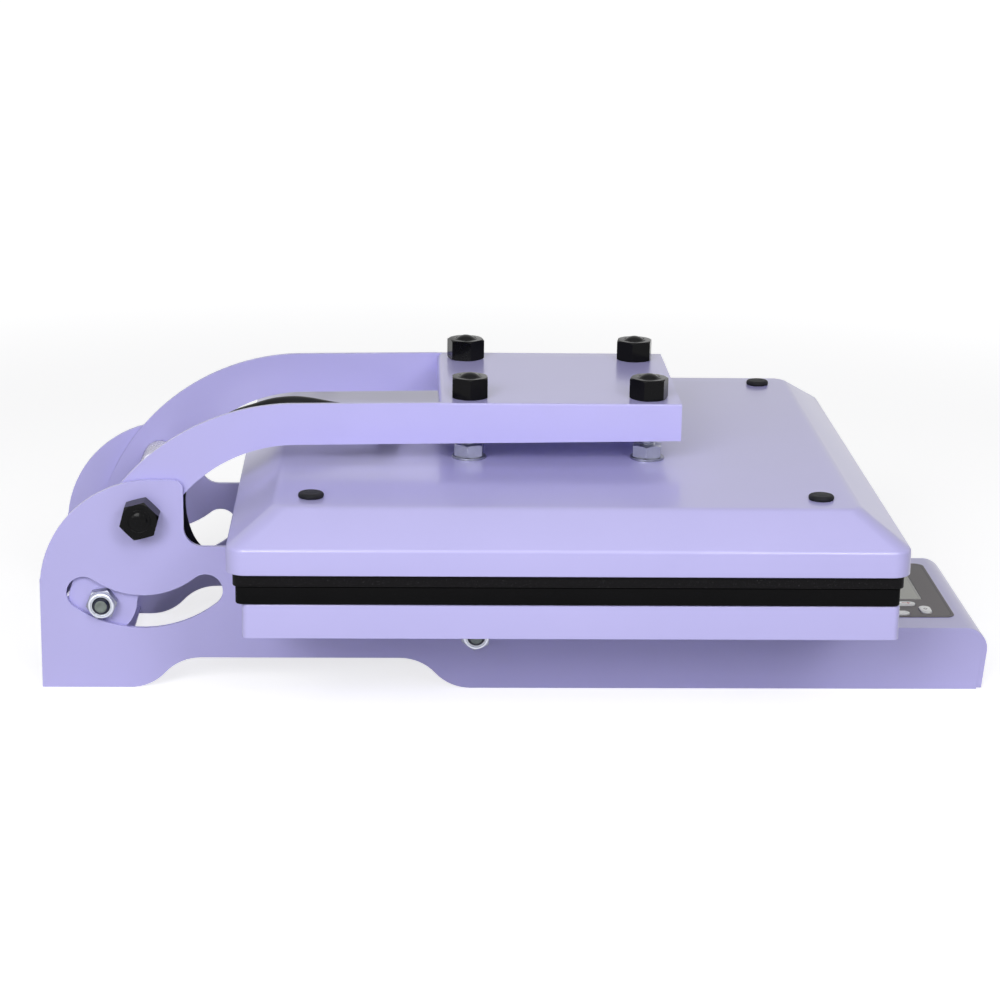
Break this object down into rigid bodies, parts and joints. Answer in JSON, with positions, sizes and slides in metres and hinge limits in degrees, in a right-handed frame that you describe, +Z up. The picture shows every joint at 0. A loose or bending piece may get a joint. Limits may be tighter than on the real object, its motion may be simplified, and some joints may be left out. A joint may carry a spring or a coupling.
{
  "type": "flat heat press",
  "caption": "Clamshell heat press: hinged square heated platen over a padded table on a slim two-plate base with a front control panel.",
  "frame": {"origin": "middle of the object's bounding box in X and Y, on the plane it stands on", "axes": "+X from the rear hinge towards the control panel, +Y across to the far side plate, +Z up"},
  "size_m": [0.588, 0.394, 0.1968],
  "materials": {
    "paint": "semi-gloss lavender powder coat",
    "zinc": "bright zinc plate",
    "spring_steel": "oiled spring steel",
    "black_gloss": "glossy black moulding",
    "black_matte": "matt black moulding",
    "rubber": "moulded dark rubber",
    "silicone": "cellular black silicone",
    "heater_alloy": "aluminium under a black non-stick coat",
    "tube_alloy": "drawn alloy sheath",
    "bronze": "sintered bronze",
    "wool": "pressed mineral fibre board",
    "ceramic": "pale moulding",
    "board": "green laminate",
    "overlay_film": "dark grey printed film",
    "display_glass": "pale grey-green display",
    "key_white": "satin off-white",
    "cable_skin": "smooth black cable sheath"
  },
  "bodies": {
    "base": {"side_plate_near": "paint", "side_plate_far": "paint", "table_deck": "paint", "bulkhead": "paint", "control_housing": "paint", "floor_pan": "paint", "pan_screws": "zinc", "rear_panel": "paint", "mains_inlet": "black_matte", "inlet_pins": "zinc", "power_switch": "black_matte", "table_pan": "paint", "table_standoffs": "zinc", "table_bolts": "zinc", "silicone_pad": "silicone", "hinge_rod": "zinc", "hinge_nuts": "zinc", "hinge_caps": "black_gloss", "tie_rod": "zinc", "tie_nuts": "zinc", "tie_tube": "zinc", "lift_spring_near": "spring_steel", "lift_spring_far": "spring_steel", "lead": "cable_skin", "lead_clip": "zinc", "lead_grommet": "rubber", "overlay": "overlay_film", "display": "display_glass", "control_board": "board", "board_posts": "zinc", "key_switches": "black_matte", "relay": "ceramic", "terminal_block": "ceramic", "inner_cable": "cable_skin"},
    "press_head": {"yoke": "paint", "hinge_bushes": "bronze", "tail_bolts": "zinc", "tail_nuts": "zinc", "studs": "zinc", "stud_caps": "black_gloss", "top_nuts": "zinc", "levelling_nuts": "zinc", "clamp_nuts": "zinc", "clamp_washers": "zinc", "stud_spacers": "zinc", "platen_cover": "paint", "heater_plate": "heater_alloy", "heating_element": "tube_alloy", "insulation": "wool", "heat_sensor": "ceramic", "cover_plugs": "rubber", "lead_gland": "black_matte"},
    "rocker": {"rocker": "black_gloss"},
    "key_far": {"button_far": "key_white"},
    "key_front": {"button_front": "key_white"},
    "key_near": {"button_near": "key_white"}
  },
  "joints": [
    {"name": "press_hinge", "type": "hinge", "parent": "base", "child": "press_head", "pos_m": [-0.2312, 0, 0.1106], "axis": [0, -1, 0], "range_deg": [0, 62], "deforming": ["lead", "lift_spring_near", "lift_spring_far"]},
    {"name": "power_rocker", "type": "hinge", "parent": "base", "child": "rocker", "pos_m": [-0.288, 0.028, 0.022], "axis": [0, -1, 0], "range_deg": [0, 14]},
    {"name": "key_far_press", "type": "slide", "parent": "base", "child": "key_far", "axis": [0, 0, -1], "range_m": [0, 0.0006], "stiffness_N_per_m": 800},
    {"name": "key_front_press", "type": "slide", "parent": "base", "child": "key_front", "axis": [0, 0, -1], "range_m": [0, 0.0006], "stiffness_N_per_m": 800},
    {"name": "key_near_press", "type": "slide", "parent": "base", "child": "key_near", "axis": [0, 0, -1], "range_m": [0, 0.0006], "stiffness_N_per_m": 800}
  ]
}
